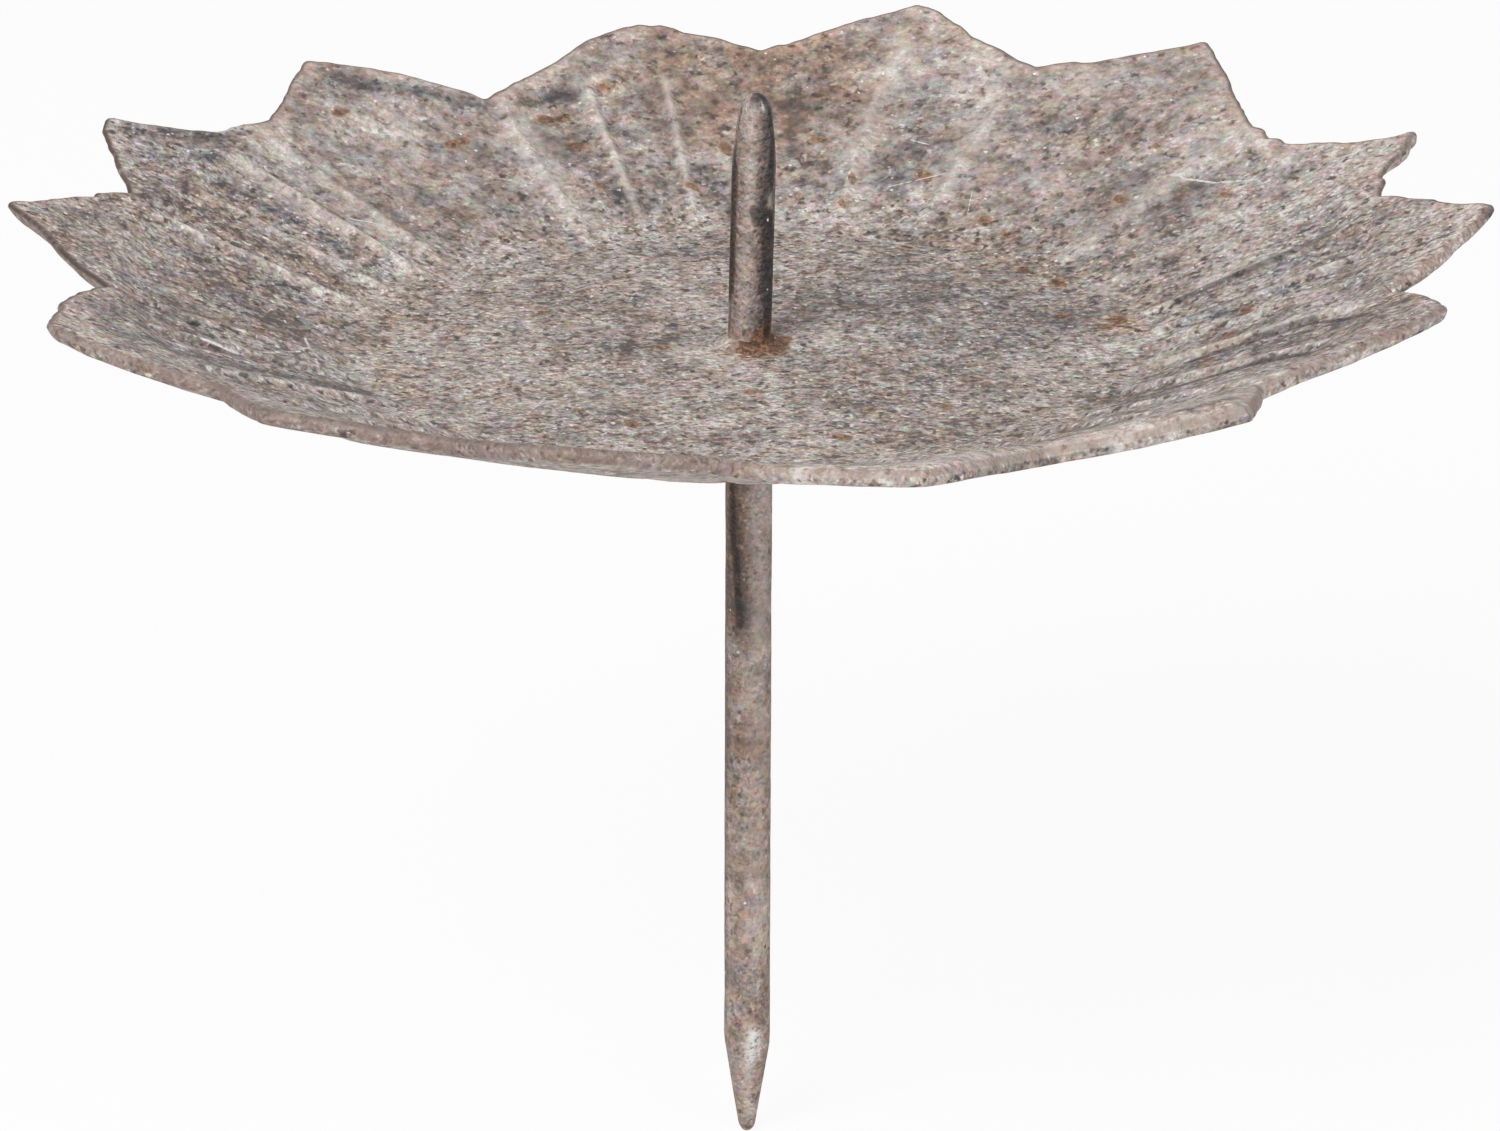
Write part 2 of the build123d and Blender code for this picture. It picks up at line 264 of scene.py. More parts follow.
rust_marks = (
    (39.1, 112.8, 39, 110.5, 0.42, 1.0), (38, 124.6, 38.1, 122.9, 0.42, 1.0),
    (43.2, 133.3, 43.2, 132.2, 0.4, 0.8), (35.8, 111.4, 35.8, 110.3, 0.35, 0.9),
    (31.4, 110.5, 31.4, 110.1, 0.35, 0.8), (41.7, 105.7, 41.7, 104.8, 0.28, 0.9),
    (38.4, 103.2, 38.4, 102.8, 0.35, 0.6), (30.3, 98.9, 30.3, 98.4, 0.3, 0.8),
    (35, 93.8, 34.2, 93.2, 0.5, 0.8), (35.6, 83.4, 35.5, 82.2, 0.35, 0.8),
    (31.5, 77.5, 31.2, 77.4, 0.35, 0.9), (28.8, 77.8, 28.5, 77.5, 0.4, 0.8),
    (32.6, 68.9, 32.4, 68.2, 0.45, 1.0), (34.2, 42.2, 34.2, 40.8, 0.35, 0.8),
    (29, 56.4, 28.8, 55.7, 0.45, 0.9), (28, 51.6, 28, 51, 0.35, 0.8), (40, 45.2, 40, 44.8, 0.3, 0.7),
    (38, 31.2, 38, 30.6, 0.4, 0.7), (33.4, -0.5, 33.4, -2, 0.4, 1.0), (32.6, -8.2, 32.6, -9.5, 0.35, 0.9),
    (32, -16.5, 31.8, -17.2, 0.4, 0.8), (37.2, 155.8, 37.2, 155, 0.35, 0.7),
    (33, 188.5, 32.8, 187, 0.4, 0.5), (22, 16, 21.9, 15.6, 0.5, 1.0), (25.3, 11.5, 25.5, 9.5, 0.6, 0.8),
    (24.5, 8, 24.3, 7.4, 0.5, 0.8), (10.3, 272, 10.3, 271, 0.5, 0.9),
    (18.6, 247.5, 18.5, 246.3, 0.5, 0.9), (20.6, 288.5, 20.4, 287.6, 0.5, 1.0),
    (5.9, 190.5, 5.8, 189, 0.4, 0.9), (15.7, 155.8, 15.6, 155, 0.45, 0.8),
    (18.1, 232.8, 18.1, 232.4, 0.4, 0.7), (16.2, -59.4, 16.2, -60, 0.4, 0.7),
    (18.7, -44.6, 18.7, -45.2, 0.45, 0.8), (25, 33, 24.8, 31, 0.5, 0.8), (24.8, 41, 24.6, 40, 0.5, 0.7),
    (2.5, 20, 2.7, -50, 0.6, 1.0), (2.7, -50, 3.0, -95, 0.45, 0.9), (2.6, 215, 2.8, 240, 0.35, 0.5),
)
# Pale marks: paler wash, and painted highlights along the lit flute crests
pale_and_highlight_marks = (
    (5, 200, 4.2, 245, 1.2, 0.8), (44, 66, 31, 65, 0.9, 0.5), (40, 116.3, 28, 116, 1.3, 0.7),
    (47, 77, 30, 78, 0.8, 0.6), (44, 39, 28, 38.6, 0.9, 0.6), (40, -11.5, 29, -12, 1.4, 0.5),
    (34, 13.2, 32.5, 13.2, 1.2, 0.8), (43, 142.8, 29, 142.5, 0.8, 0.5), (42, 149, 33, 149, 0.8, 0.5),
    (48, 70, 45.5, 68, 1.2, 0.4), (46, 60, 42.5, 57, 1.5, 0.4), (27.8, 170, 27.2, 150, 0.8, 0.5),
    (25.5, 100, 26.2, 80, 0.8, 0.35), (46.5, 283, 46, 315, 1.3, 0.9), (14, 236, 20, 222, 1.2, 0.35),
)
# Bare marks: rubbed bare metal, and painted glints on the notch flats and the front-right rim
bare_and_glint_marks = (
    (45, 146.3, 44.9, 141, 0.28, 0.9), (46.6, 297, 46, 303, 0.6, 0.35),
    (45.4, 275.6, 45.4, 274.8, 0.35, 0.9), (44.3, 151, 43.9, 150, 0.35, 0.6),
    (46, 169.8, 46, 169, 0.25, 0.8), (29, 188, 28.7, 194, 0.5, 0.3),
)
# Zones of painted glints and glinting hairlines
painted_sparkle_marks = (
    (31, 162, 29, 146, 2.0, 0.7), (42, 18, 41.5, 12, 0.8, 1.0), (45.5, 12, 47, 4, 0.9, 0.7),
    (45, 156, 44, 150, 1.2, 0.8), (46.3, 296, 45.8, 306, 0.8, 1.0), (36, 74, 31, 70, 1.6, 0.7),
    (46.4, 172, 46, 168, 0.5, 0.9), (38, 40, 40.5, 29, 0.5, 0.8), (29, 60, 29, 50, 1.2, 0.4),
    (32, 198, 29, 190, 1.6, 0.6),
)
scratches = (
    (37.8, 38.4, 38.6, 34, 0.15), (38.6, 34, 40.4, 30.2, 0.13), (40.6, 198.4, 35.5, 200, 0.15),
    (29.6, 195.5, 29.9, 185, 0.14), (33.5, 196.5, 29.6, 190, 0.12), (33, 66, 31, 72.5, 0.06),
    (29.5, 59.5, 31.5, 61, 0.05), (38.7, 178.3, 37.6, 176.3, 0.09), (36.3, 73, 35.8, 69.5, 0.07),
    (33.8, 145.8, 32.6, 143.6, 0.09), (24, 150, 25.5, 139, 0.05), (17.5, 221, 20.5, 226, 0.06),
)

# How far from a scratch and past its ends its line is drawn
scratch_reach = 1.0
scratch_overrun = 0.02

# Marks of the wires: from height and angle, counted from the front, to height and angle, half width, strength
pricket_marks = {
    # Painted shade: the dark strip down the wire's shaded right side
    "slate_and_shade": (
        (16.5, 55, 2, 52, 1.2, 0.9), (17.4, 40, 16.8, 70, 0.9, 0.8), (13.5, -70, 3.5, -72, 0.4, 0.6),
    ),
    # Dark lines: those right of the front are painted shade on the wire's shaded side, those near -60 to -66
    # a dark line at its left edge
    "grime_and_shade": (
        (16.4, 62, 14, 66, 0.35, 0.9), (14, 58, 12.2, 52, 0.45, 0.8), (12.2, 48, 11.2, 44, 0.55, 0.9),
        (10.6, 30, 9.4, 26, 0.4, 0.9), (9.2, 44, 6, 52, 0.6, 1.0), (6, 46, 3.4, 50, 0.55, 1.0),
        (3.4, 54, 1, 56, 0.42, 1.0), (8, 76, 2, 78, 0.4, 1.0), (9.8, 4, 9.0, 16, 0.36, 1.0),
        (17.5, -20, 17.4, 60, 0.4, 0.9), (12.4, -60, 4, -62, 0.42, 1.0), (15, 60, 14, 66, 0.4, 0.6),
        (16.6, -62, 12.4, -66, 0.16, 0.8), (4, -64, 1, -66, 0.16, 0.6),
    ),
    "brown": ((13, -60, 3.5, -62, 0.35, 1.0), (12.6, 20, 11.2, 16, 0.25, 1.0), (9, 24, 4, 22, 0.25, 0.6)),
    "rust": ((0.7, 25, 1.3, 60, 0.6, 0.9),),
    # Pale marks: a pink patch, and a painted highlight down the lit side left of the front
    "pale_and_highlight": (
        (10.8, 48, 10.1, 54, 0.32, 1.0), (16.4, -10, 10, -8, 0.45, 0.5), (9.5, -14, 2, -10, 0.5, 0.35),
    ),
    # A painted glint on the cap
    "bare_and_glint": ((16.95, 30, 16.8, 33, 0.2, 1.0),),
}
stake_marks = {
    # Painted shade: the pan's shadow on the top of the stake, and the shaded left edge
    "slate_and_shade": ((-11, -32, -19.5, -8, 0.45, 0.5), (-16, -75, -46, -80, 0.5, 0.4)),
    # Dark marks near the top, partly the painted shadow of the pan
    "grime_and_shade": (
        (-9.5, -44, -14.5, -40, 0.42, 0.6), (-14.5, -34, -19.8, -20, 0.45, 0.65),
        (-12.6, -48, -14, -46, 0.3, 0.5),
    ),
    "brown": (
        (-8, -50, -19, -32, 0.9, 1.0), (-27, -16, -29, -10, 0.5, 0.5), (-38, -22, -44, -16, 0.5, 0.4),
    ),
    "rust": ((-2, 0, -3, 40, 1.0, 0.8), (-32, -40, -33, -34, 0.4, 0.35)),
    # Pale marks: a painted highlight down the lit right side, and a pale spot at the point
    "pale_and_highlight": ((-10, 30, -22, 36, 0.7, 0.5), (-22, 24, -46, 30, 0.8, 0.25), (-51.5, 10, -56, 4, 0.5, 0.5)),
    "bare_and_glint": ((-49.9, 18, -51.7, 10, 0.5, 1.0),),
}


def smooth(low, high, value):
    """0 below low, 1 above high, and an eased step between them."""
    share = np.clip((value - low) / (high - low), 0, 1)
    return share * share * (3 - 2 * share)


def turn(angle, other):
    """The angle from other to angle, between -180 and 180."""
    return (angle - other + 180) % 360 - 180


def around(angle, table):
    """Eased values round the circle through a table of angles and values."""
    knots = np.array(sorted(table))
    at = np.concatenate([knots[:, 0] - 360, knots[:, 0], knots[:, 0] + 360])
    values = np.tile(knots[:, 1], 3)
    i = np.searchsorted(at, angle, side="right") - 1
    share = smooth(0, 1, (angle - at[i]) / (at[i + 1] - at[i]))
    return values[i] * (1 - share) + values[i + 1] * share


def flat(radius, angle):
    """X and Y of points given by radius and angle."""
    return np.stack([radius * np.cos(np.radians(angle)), radius * np.sin(np.radians(angle))], -1)


def lumps(points, size, seed):
    """Smooth seeded noise from -1 to 1 at each point, with lumps about size across."""
    shift = Vector((seed * 7.31, seed * 3.17, seed * 5.03))
    return np.array([noise.noise(Vector(p) / size + shift) for p in points])


def segment_frame(points, start, end):
    """Share along a straight mark, signed distance across it and plain distance to it, for each point."""
    run = end - start
    length = max(float(np.hypot(*run)), 1e-6)
    along = ((points - start) @ run) / length**2
    across = ((points - start) @ np.array([-run[1], run[0]])) / length
    nearest = start + np.clip(along, 0, 1)[:, None] * run
    return along, across, np.hypot(*(points - nearest).T)


def marked(points, marks, placed):
    """The strongest of a table of soft marks at each point; placed turns the table's places into points."""
    strongest = np.zeros(len(points))
    for start, start_angle, end, end_angle, half_width, strength in marks:
        far = segment_frame(points, placed(start, start_angle), placed(end, end_angle))[2]
        strongest = np.maximum(strongest, strength * np.exp(-((far / half_width) ** 2)))
    return strongest


def depth_into(points, marks, placed):
    """How deep each point lies inside a table of sharp marks, in millimetres, and below 0 outside them."""
    deepest = np.full(len(points), outside_mark)
    for start, start_angle, end, end_angle, half_width, strength in marks:
        far = segment_frame(points, placed(start, start_angle), placed(end, end_angle))[2]
        deepest = np.maximum(deepest, strength * half_width - far)
    return deepest


def ring_faces(rings):
    """Faces between neighbouring rings of point numbers, where one count is a whole multiple of the other."""
    faces = []
    for ring, following in zip(rings, rings[1:]):
        few, many = sorted((ring, following), key=len)
        step = len(many) // len(few)
        for i in range(len(few)):
            near = [few[i]] if len(few) == 1 else [few[i], few[(i + 1) % len(few)]]
            far = [many[(i * step + k) % len(many)] for k in range(step + 1)]
            if len(few) == 1:
                fan = [(near[0], far[k], far[k + 1]) for k in range(step)]
            else:
                fan = [(near[0], *far, near[1])]
            faces += fan if few is ring else [face[::-1] for face in fan]
    return faces


def number_rings(counts):
    """Point numbers of each ring, one ring after the other."""
    starts = np.concatenate([[0], np.cumsum(counts)])
    return [list(range(a, b)) for a, b in zip(starts, starts[1:])]


def make_piece(name, points, faces, marks, material, node):
    """A smooth mesh piece on the part's body that stands for a solid, with its marks as attributes."""
    mesh = bpy.data.meshes.new(name)
    mesh.from_pydata((points * MM).tolist(), [], faces)
    mesh.polygons.foreach_set("use_smooth", [True] * len(mesh.polygons))
    for mark, values in marks.items():
        attribute = mesh.attributes.new(mark, "FLOAT", "POINT")
        attribute.data.foreach_set("value", np.asarray(values, np.float32))
    mesh.materials.append(material)
    mesh.update()
    piece = bpy.data.objects.new(name, mesh)
    bpy.context.scene.collection.objects.link(piece)
    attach(piece, "root")
    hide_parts(node)
    return piece


# The pan

def dish_height(radius):
    """Height of the plain dish's inside above its floor."""
    slope = math.radians(wall_slope)
    bend_run = bend_radius * math.sin(slope)
    out = np.clip(radius - floor_radius, 0, bend_run)
    bend = bend_radius - np.sqrt(bend_radius**2 - out**2)
    return bend + np.maximum(radius - floor_radius - bend_run, 0) * math.tan(slope)


def crest_strength(radius, angle):
    """How much of a flute's crest each point has, from 0 in the flutes to 1."""
    strongest = np.zeros(len(radius))
    for crest_angle, strength in crests:
        across = radius * np.radians(turn(angle, crest_angle))
        strongest = np.maximum(strongest, strength * np.exp(-((across / crest_width) ** 2)))
    band = smooth(flute_inner, flute_inner + flute_fade, radius)
    return strongest, band * (1 - smooth(flute_outer - flute_fade, flute_outer, radius))


def inside_height(radius, angle, edge):
    """Height of the pan's inside: the dish, the flutes, the bent rim, the sheet's unevenness and its pits."""
    crest, band = crest_strength(radius, angle)
    reach = np.clip((radius - floor_radius) / (rim_radius - floor_radius), 0, None)
    points = np.column_stack([flat(radius, angle), np.zeros(len(radius))])
    uneven = dent_depth * lumps(points, dent_size, 1) * smooth(0, floor_radius, radius)
    uneven += lump_depth * lumps(points, lump_size, 2)
    bent = around(angle, rim_lifts) * reach**rim_lift_power
    bent = bent - around(angle, edge_droops) * np.clip((radius - edge) / droop_width + 1, 0, None) ** 2
    for pit_radius, pit_angle, pit_reach, rise in pits:
        far = np.hypot(*(points[:, :2] - flat(pit_radius, pit_angle)).T)
        uneven += rise * np.exp(-((far / pit_reach) ** 2))
    flutes = around(angle, flute_depths) * band * (crest - around(angle, flute_sinks))
    return dish_height(radius) + flutes + bent + uneven


def solid_edge(angles):
    """Radius of the solid pan's cut edge at each angle, felt for from above."""
    mesh = frame["nodes"]["pan"].data
    tree = BVHTree.FromPolygons([v.co for v in mesh.vertices], [p.vertices for p in mesh.polygons])
    above = cad_box[1].z + rim_radius * MM
    low = np.full(len(angles), floor_radius)
    high = np.full(len(angles), 1.2 * rim_radius)
    for _ in range(18):
        middle = (low + high) / 2
        spots = flat(middle, angles) * MM
        hit = np.array([tree.ray_cast((x, y, above), (0, 0, -1))[0] is not None for x, y in spots])
        low, high = np.where(hit, middle, low), np.where(hit, high, middle)
    return low


def segment_count(radius):
    """Points round a ring of that radius."""
    return next(segments // share for reach, share in segment_shares if radius >= reach)


def cut_edge(angles):
    """Radius of the cut edge at each angle: the solid's, with its strays and a ragged line."""
    edge = solid_edge(angles)
    points = np.column_stack([flat(edge, angles), np.zeros(len(angles))])
    for trim_angle, half_width, change in edge_trims:
        away = abs(turn(angles, trim_angle))
        edge = edge + change * (1 - smooth(trim_core * half_width, half_width, away))
    for k, size in enumerate(ragged_sizes):
        edge = edge + ragged_depth * (lumps(points, size, 10 + k) - ragged_bias)
    return edge


def pan_rings(edge, edge_angles):
    """Rings from the middle to the lip and back underneath, each with radius, angle, drop, lip and line."""
    inner = np.arange(floor_ring_step, floor_radius, floor_ring_step)
    outer = np.arange(floor_radius, skirt_radius, wall_ring_step)
    shares = np.arange(skirt_rings) / skirt_rings
    thin = around(edge_angles, thin_edges)
    bevel = around(edge_angles, bevels)
    thickness = sheet / math.cos(math.radians(wall_slope))
    under_count = segments // under_coarseness
    rings = []

    def add_ring(radius, count, drop, lip=0.0, line=0.0):
        values = (radius, np.arange(count) * 360 / count, drop, lip, line)
        rings.append([np.broadcast_to(value, count) for value in values])

    add_ring(0, 1, 0)
    for radius in (*inner, *outer):
        add_ring(radius, segment_count(radius), 0)
    for share in shares:
        add_ring(skirt_radius + (edge - lip_steps[0][0] - skirt_radius) * share, segments, 0)
    for inset, drop, lip, line, thin_inset, bevel_drop in lip_steps:
        lip_edge = edge - (inset * (1 - thin_rounding * thin) + thin_inset * thin)
        add_ring(lip_edge, segments, drop + bevel_drop * bevel, lip, line)
    under_edge = lip_edge[::under_coarseness]
    for share in shares[::-under_coarseness]:
        add_ring(skirt_radius + (under_edge - skirt_radius) * share, under_count, thickness)
    for radius in outer[::-under_coarseness]:
        add_ring(radius, under_count, thickness)
    for radius in inner[::-under_coarseness]:
        add_ring(radius, segment_count(radius) // under_coarseness, sheet)
    add_ring(0, 1, sheet)
    return rings


def scratch_lines(plan):
    """Where each point lies across a scratch, in half widths of it, and whether one is near."""
    offset = np.zeros(len(plan))
    near = np.zeros(len(plan))
    for start_radius, start_angle, end_radius, end_angle, half_width in scratches:
        ends = flat(start_radius, start_angle), flat(end_radius, end_angle)
        along, across, far = segment_frame(plan, *ends)
        here = (far < scratch_reach) & (along > -scratch_overrun) & (along < 1 + scratch_overrun)
        offset = np.where(here, across / half_width, offset)
        near = np.where(here, 1.0, near)
    return offset, near


def pan_marks(plan, radius, angle, inset, above):
    """The marks of the pan's finish; inset is the way in from the cut edge, above tells the upper side."""
    crest, band = crest_strength(radius, angle)
    wall = smooth(floor_radius, calm_radius, radius)
    behind = smooth(0.3, 0.7, np.sin(np.radians(angle)))
    rim_band = 1 - smooth(rim_band_core * rim_band_width, rim_band_width, inset)
    rim_band = around(angle, rim_bands) * rim_band * above
    # Painted highlight along the flute crests, and painted shade in the grooves between them (in the slate
    # mark below)
    pale_and_highlight = np.maximum(marked(plan, pale_and_highlight_marks, flat), painted_crest_highlight * crest**2 * band) * above
    offset, near = scratch_lines(plan)
    return {
        "slate_and_shade": np.maximum(marked(plan, slate_and_shade_marks, flat), groove_shade * band * (1 - crest)) * above,
        "grime_and_shade": np.where(above, depth_into(plan, grime_and_shade_marks, flat), outside_mark),
        "brown": marked(plan, brown_marks, flat) * above,
        "rust": np.where(above, depth_into(plan, rust_marks, flat), outside_mark),
        "pale_and_highlight": np.maximum(pale_and_highlight, rim_band),
        "bare_and_glint": marked(plan, bare_and_glint_marks, flat),
        "painted_sparkle": marked(plan, painted_sparkle_marks, flat) * above,
        "rim": np.where(above, inset, off_rim),
        "calm": wall * (front_calm + back_calm * behind) + band_calm * rim_band,
        "line_offset": offset,
        "line_near": near * above,
    }


def pan_piece(material):
    """The pan as one closed mesh: its inside out to the lip, round the cut edge and back underneath."""
    edge_angles = np.arange(segments) * 360 / segments
    edge = cut_edge(edge_angles)
    rings = pan_rings(edge, edge_angles)
    radius, angle, drop, lip, line = (np.concatenate(column) for column in zip(*rings))
    edge_at = np.interp(angle % 360, np.append(edge_angles, 360), np.append(edge, edge[0]))
    points = np.column_stack([flat(radius, angle), inside_height(radius, angle, edge_at) - drop])
    marks = pan_marks(points[:, :2], radius, angle, edge_at - radius, drop < sheet / 2)
    marks["lip"] = lip * around(angle, lip_tones)
    marks["edge_line"] = line * around(angle, edge_lines)
    faces = ring_faces(number_rings([len(ring[0]) for ring in rings]))
    return make_piece("pan_sheet", points, faces, marks, material, "pan")


# The wires and their welds

def wire_line(name):
    """A wire's foot on the level of the pan's floor, its upward direction and its radius."""
    mount = mounts[name]
    rise = Vector(mount["axis"])
    rise = rise if rise.z > 0 else -rise
    spot = Vector(mount["pos_m"]) / MM
    return spot - rise * (spot.z / rise.z), rise, mount["dims"]["r_mm"]


def wire_piece(name, node, heights, radius_at, tables, material):
    """A wire as a closed mesh of rings from its top down; radius_at takes heights and front angles."""
    foot, rise, plain_radius = wire_line(node)
    across = Vector((1, 0, 0)) - rise * rise.x
    across.normalize()
    behind = rise.cross(across)
    counts = [1, *[wire_segments] * len(heights), 1]
    turns = np.arange(wire_segments) * 360 / wire_segments
    height = np.concatenate([heights[:1], np.repeat(heights, wire_segments), heights[-1:]])
    round_angle = np.concatenate([[0], np.tile(turns, len(heights)), [0]])
    front_angle = turn(round_angle, -90)
    radius = radius_at(height, front_angle)
    radius[[0, -1]] = 0
    spread = flat(radius, round_angle)
    middle = np.array(foot) + np.outer(height, rise)
    points = middle + np.outer(spread[:, 0], across) + np.outer(spread[:, 1], behind)
    uneven = wire_lump_depth * lumps(points, wire_lump_size, 5)
    uneven = uneven + wire_grain_depth * lumps(points, wire_grain_size, 6)
    points = points + (points - middle) * (uneven / plain_radius)[:, None]

    def unrolled(along, angle):
        return np.stack([along, plain_radius * np.radians(angle)], -1)

    place = unrolled(height, front_angle)
    sharp = ("grime_and_shade", "rust")
    marks = {
        mark_name: (depth_into if mark_name in sharp else marked)(place, table, unrolled)
        for mark_name, table in tables.items()
    }
    marks["rim"] = np.full(len(points), off_rim)
    marks["calm"] = np.full(len(points), wire_calm)
    return make_piece(name, points, ring_faces(number_rings(counts)), marks, material, node)


def pricket_piece(material):
    """The pricket: a leaning wire with a blunt, hammered point."""
    low, high = (corner.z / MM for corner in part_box("pricket"))
    _, rise, plain_radius = wire_line("pricket")
    top = high / rise.z

    def radius_at(height, angle):
        below = np.clip(top - height, 0, None)
        ball = np.sqrt(np.clip(2 * pricket_nose * below - below**2, 0, None))
        ball = np.where(below > pricket_nose, np.inf, ball)
        narrow = np.clip(1 - below / pricket_point, 0, 1) ** pricket_fullness
        taper = plain_radius - (plain_radius - pricket_nose) * narrow
        return np.minimum(ball, taper)

    heights = top - np.concatenate([nose_rings, np.arange(1.2, top - low, wire_ring_step)])
    return wire_piece("pricket_wire", "pricket", heights, radius_at, pricket_marks, material)


def stake_piece(material):
    """The stake: a straight wire ground to a four-sided nail point with a rounded end."""
    low, high = (corner.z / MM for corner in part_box("stake"))
    _, rise, plain_radius = wire_line("stake")
    bottom = low / rise.z
    top = high / rise.z

    def radius_at(height, angle):
        above = np.clip(height - bottom, 0, None)
        share = np.clip(above / stake_point, 0, 1)
        flat_reach = stake_flat / 2 + (plain_radius - stake_flat / 2) * share
        off_flat = np.radians((angle - stake_flat_turn + 45) % 90 - 45)
        squared = flat_reach * np.minimum(1 / np.cos(off_flat), stake_corner)
        body = np.minimum(squared, stake_swell * plain_radius)
        ball = np.sqrt(np.clip(1 - (1 - np.clip(above / stake_nose, 0, 1)) ** 2, 0, None))
        return body * ball

    tip_rings = np.arange(nose_rings[-1] + stake_tip_ring_step, stake_tip_reach, stake_tip_ring_step)
    tip_heights = bottom + np.concatenate([nose_rings, tip_rings])
    plain_heights = np.arange(top, tip_heights[-1] + wire_ring_step, -wire_ring_step)
    heights = np.concatenate([plain_heights, tip_heights[::-1]])
    return wire_piece("stake_wire", "stake", heights, radius_at, stake_marks, material)


def weld_piece(name, node, wire, level, rise, spread, material):
    """A lumpy weld bead round a wire, sunk a little in the sheet; rise is negative under the pan."""
    foot, lean, plain_radius = wire_line(wire)
    middle = np.array(foot + lean * (level / lean.z))[:2]
    shares = np.linspace(0, 1, weld_rings)
    heights = level + rise * np.concatenate([shares[::-1], [-weld_sink_share]])
    radii = plain_radius + spread * np.concatenate([(1 - shares[::-1]) ** 2, [1.0]])
    if rise < 0:
        heights, radii = heights[::-1], radii[::-1]
    counts = [1, *[weld_segments] * len(heights), 1]
    turns = np.arange(weld_segments) * 360 / weld_segments
    height = np.concatenate([heights[:1], np.repeat(heights, weld_segments), heights[-1:]])
    radius = np.concatenate([[0], np.repeat(radii, weld_segments), [0]])
    angle = np.concatenate([[0], np.tile(turns, len(heights)), [0]])
    points = np.column_stack([flat(radius, angle) + middle, height])
    swell = 1 + weld_lump_share * lumps(points, weld_lump_size, 7)
    swell = np.clip(swell + weld_lump_share * lumps(points, weld_grain_size, 8) / 2, 0.8, 1)
    points[:, :2] = middle + (points[:, :2] - middle) * swell[:, None]
    rusty = smooth(-0.6, 0.7, np.cos(np.radians(turn(angle, rusty_side))))
    marks = {
        "rust": 0.9 * rusty - 0.55,
        "slate_and_shade": 0.3 * rusty,
        "pale_and_highlight": 0.6 * (1 - rusty),
        "rim": np.full(len(points), off_rim),
        "grime_and_shade": rusty * smooth(0.0, 0.7, (height - level) / rise) - 0.62,
    }
    return make_piece(name, points, ring_faces(number_rings(counts)), marks, material, node)


# Node graphs of the materials

def linear(red, green, blue):
    """A colour given as 8-bit display values, as Blender's linear colour."""
    shares = [value / 255 for value in (red, green, blue)]
    return (*[s / 12.92 if s <= 0.04045 else ((s + 0.055) / 1.055) ** 2.4 for s in shares], 1)


def plug(tree, socket, value):
    """Sets a socket to a value or links it to another socket."""
    if isinstance(value, bpy.types.NodeSocket):
        tree.links.new(value, socket)
    else:
        socket.default_value = value


def arithmetic(tree, operation, first, second=0.0):
    """The outcome of a math operation on sockets or numbers."""
    node = tree.nodes.new("ShaderNodeMath")
    node.operation = operation
    plug(tree, node.inputs[0], first)
    plug(tree, node.inputs[1], second)
    return node.outputs[0]


def times(tree, first, second):
    """The product of two sockets or numbers."""
    return arithmetic(tree, "MULTIPLY", first, second)


def step_between(tree, value, low, high):
    """0 below low and 1 above high, eased."""
    node = tree.nodes.new("ShaderNodeMapRange")
    node.interpolation_type = "SMOOTHSTEP"
    plug(tree, node.inputs["Value"], value)
    node.inputs["From Min"].default_value = low
    node.inputs["From Max"].default_value = high
    return node.outputs["Result"]


def noise_field(tree, place, size, seed, detail=2.0, roughness=0.6):
    """Seeded noise about 0.5, with lumps about size millimetres across."""
    node = tree.nodes.new("ShaderNodeTexNoise")
    node.noise_dimensions = "4D"
    plug(tree, node.inputs["Vector"], place)
    node.inputs["W"].default_value = seed
    node.inputs["Scale"].default_value = 1 / size
    node.inputs["Detail"].default_value = detail
    node.inputs["Roughness"].default_value = roughness
    return node.outputs["Fac"]


def wobbled(tree, place, size, reach):
    """Coordinates pushed about by noise, so that what is placed by them gets ragged outlines."""
    push = tree.nodes.new("ShaderNodeTexNoise")
    plug(tree, push.inputs["Vector"], place)
    push.inputs["Scale"].default_value = 1 / size
    centred = tree.nodes.new("ShaderNodeVectorMath")
    centred.operation = "SUBTRACT"
    plug(tree, centred.inputs[0], push.outputs["Color"])
    centred.inputs[1].default_value = (0.5, 0.5, 0.5)
    moved = tree.nodes.new("ShaderNodeVectorMath")
    moved.operation = "MULTIPLY_ADD"
    plug(tree, moved.inputs[0], centred.outputs["Vector"])
    moved.inputs[1].default_value = (reach, reach, reach)
    plug(tree, moved.inputs[2], place)
    return moved.outputs["Vector"]


def grains(tree, place, size):
    """Grains size millimetres wide: the distance from the middle of each, and three random values for it."""
    node = tree.nodes.new("ShaderNodeTexVoronoi")
    plug(tree, node.inputs["Vector"], place)
    node.inputs["Scale"].default_value = 1 / size
    split = tree.nodes.new("ShaderNodeSeparateColor")
    plug(tree, split.inputs["Color"], node.outputs["Color"])
    return node.outputs["Distance"], split.outputs["Red"], split.outputs["Green"], split.outputs["Blue"]


def flecks(tree, place, size, share, reach):
    """Small ragged specks, one in some of the cells size millimetres wide."""
    distance, chance, _, _ = grains(tree, place, size)
    chosen = arithmetic(tree, "LESS_THAN", chance, share)
    return times(tree, chosen, step_between(tree, distance, reach, 0.4 * reach))


def hairlines(tree, place, size, seed):
    """Short curved hairlines, where one noise crosses its middle and another is high."""
    across = arithmetic(tree, "SUBTRACT", noise_field(tree, place, size, seed, detail=0.0), 0.5)
    line = step_between(tree, arithmetic(tree, "ABSOLUTE", across), 0.012, 0.004)
    kept = step_between(tree, noise_field(tree, place, 0.3 * size, seed + 1, detail=0.0), 0.56, 0.66)
    return times(tree, line, kept)


